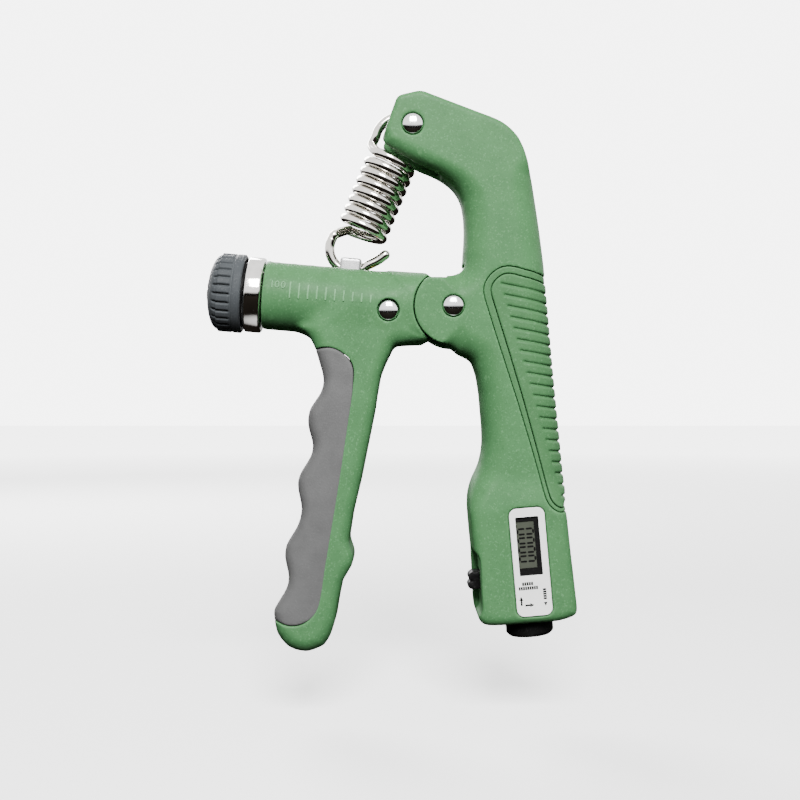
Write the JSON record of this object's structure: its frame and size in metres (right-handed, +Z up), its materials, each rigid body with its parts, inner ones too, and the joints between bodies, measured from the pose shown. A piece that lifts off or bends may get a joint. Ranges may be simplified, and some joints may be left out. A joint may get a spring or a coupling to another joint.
{
  "type": "hand grip dynamometer",
  "caption": "A-frame hand grip with finger and palm handles on one pivot, an extension spring, a knob that sets the resistance and a squeeze counter in the palm handle.",
  "frame": {"origin": "the middle of the box round the whole grip with its handles apart; the axis of the main pivot runs along Y through x 18.184 mm, z 18.263 mm", "axes": "+Z up, +X from the finger handle towards the palm handle, front face with the display towards -Y"},
  "size_m": [0.1052, 0.023, 0.1576],
  "materials": {
    "green_body": "satin moulded plastic with fine grain",
    "ribbed_panel": "matt ribbed soft plastic",
    "grey_pad": "matt soft grip",
    "rivet_chrome": "polished",
    "collar_chrome": "polished",
    "knob_grey": "satin moulded plastic",
    "black_plastic": "satin",
    "spring_steel": "plated spring wire",
    "steel": "plated",
    "brass": "machined",
    "label_white": "satin printed plate",
    "display": "liquid crystal display behind a clear window",
    "circuit_board": "solder resist"
  },
  "bodies": {
    "palm_handle": {"palm_handle": "green_body", "palm_panel": "ribbed_panel", "pivot_pin": "rivet_chrome", "pivot_pin_cap": "rivet_chrome", "spring_pin": "rivet_chrome", "spring_pin_cap": "rivet_chrome", "pivot_washer_front": "steel", "pivot_washer_rear": "steel", "label_plate": "label_white", "lcd_panel": "display", "counter_board": "circuit_board", "coin_cell": "steel", "count_switch": "black_plastic", "rear_cover": "green_body", "cover_screw_1": "steel", "cover_screw_2": "steel", "trigger_spring": "steel", "reset_spring": "steel"},
    "finger_handle": {"finger_handle": "green_body", "finger_pad": "grey_pad", "pivot_bush": "brass", "bearing_pin": "rivet_chrome", "bearing_pin_cap": "rivet_chrome", "screw_bearing_block": "brass", "barrel_collar": "collar_chrome", "knob_washer": "black_plastic"},
    "knob": {"adjuster_knob": "knob_grey", "adjuster_screw": "steel", "knob_screw": "steel", "knob_cap": "knob_grey"},
    "slider": {"slider_nut": "steel"},
    "lower_hook": {"spring_lower_hook": "spring_steel"},
    "lower_coils": {"spring_coils_lower": "spring_steel"},
    "upper_coils": {"spring_coils_upper": "spring_steel"},
    "upper_hook": {"spring_upper_hook": "spring_steel"},
    "trigger": {"count_trigger": "black_plastic"},
    "reset": {"reset_button": "black_plastic"}
  },
  "joints": [
    {"name": "squeeze", "type": "hinge", "parent": "palm_handle", "child": "finger_handle", "pos_m": [0.01818, 0, 0.01826], "axis": [0, -1, 0], "range_deg": [0, 24]},
    {"name": "knob_turn", "type": "hinge", "parent": "finger_handle", "child": "knob", "pos_m": [-0.03497, 0, 0.02176], "axis": [0.9962, 0, -0.0872], "range_deg": [-3186, 594]},
    {"name": "slider_travel", "type": "slide", "parent": "finger_handle", "child": "slider", "axis": [0.9962, 0, -0.0872], "range_m": [-0.01775, 0.00335]},
    {"name": "hook_swing", "type": "hinge", "parent": "slider", "child": "lower_hook", "pos_m": [-0.01022, 0, 0.03516], "axis": [0, -1, 0], "range_deg": [-22, 0.1]},
    {"name": "coil_swing", "type": "hinge", "parent": "lower_hook", "child": "lower_coils", "pos_m": [-0.01022, 0, 0.03516], "axis": [0, -1, 0], "range_deg": [-20.5, 3.9], "deforming": ["spring_lower_hook", "spring_coils_lower"]},
    {"name": "spring_stretch", "type": "slide", "parent": "lower_coils", "child": "upper_coils", "axis": [0.4547, 0, 0.8907], "range_m": [-0.0001, 0.0138], "deforming": ["spring_coils_upper"]},
    {"name": "hook_stretch", "type": "slide", "parent": "upper_coils", "child": "upper_hook", "axis": [0.4547, 0, 0.8907], "range_m": [-0.0019, 0.0098], "deforming": ["spring_upper_hook"]},
    {"name": "count_press", "type": "slide", "parent": "palm_handle", "child": "trigger", "axis": [0.9962, 0, 0.0872], "range_m": [0, 0.0015], "stiffness_N_per_m": 200, "deforming": ["trigger_spring"]},
    {"name": "reset_press", "type": "slide", "parent": "palm_handle", "child": "reset", "axis": [-0.0872, 0, 0.9962], "range_m": [0, 0.0015], "stiffness_N_per_m": 200, "deforming": ["reset_spring"]}
  ],
  "couplings": [
    {"joint": "slider_travel", "follows": "knob_turn", "m_per_rad": 0.00031831},
    {"joint": "hook_swing", "follows": "squeeze", "ratio": -0.9096},
    {"joint": "coil_swing", "follows": "knob_turn", "ratio": 0.006384},
    {"joint": "spring_stretch", "follows": "squeeze", "m_per_rad": 0.03259},
    {"joint": "hook_stretch", "follows": "knob_turn", "m_per_rad": -0.0001726}
  ]
}
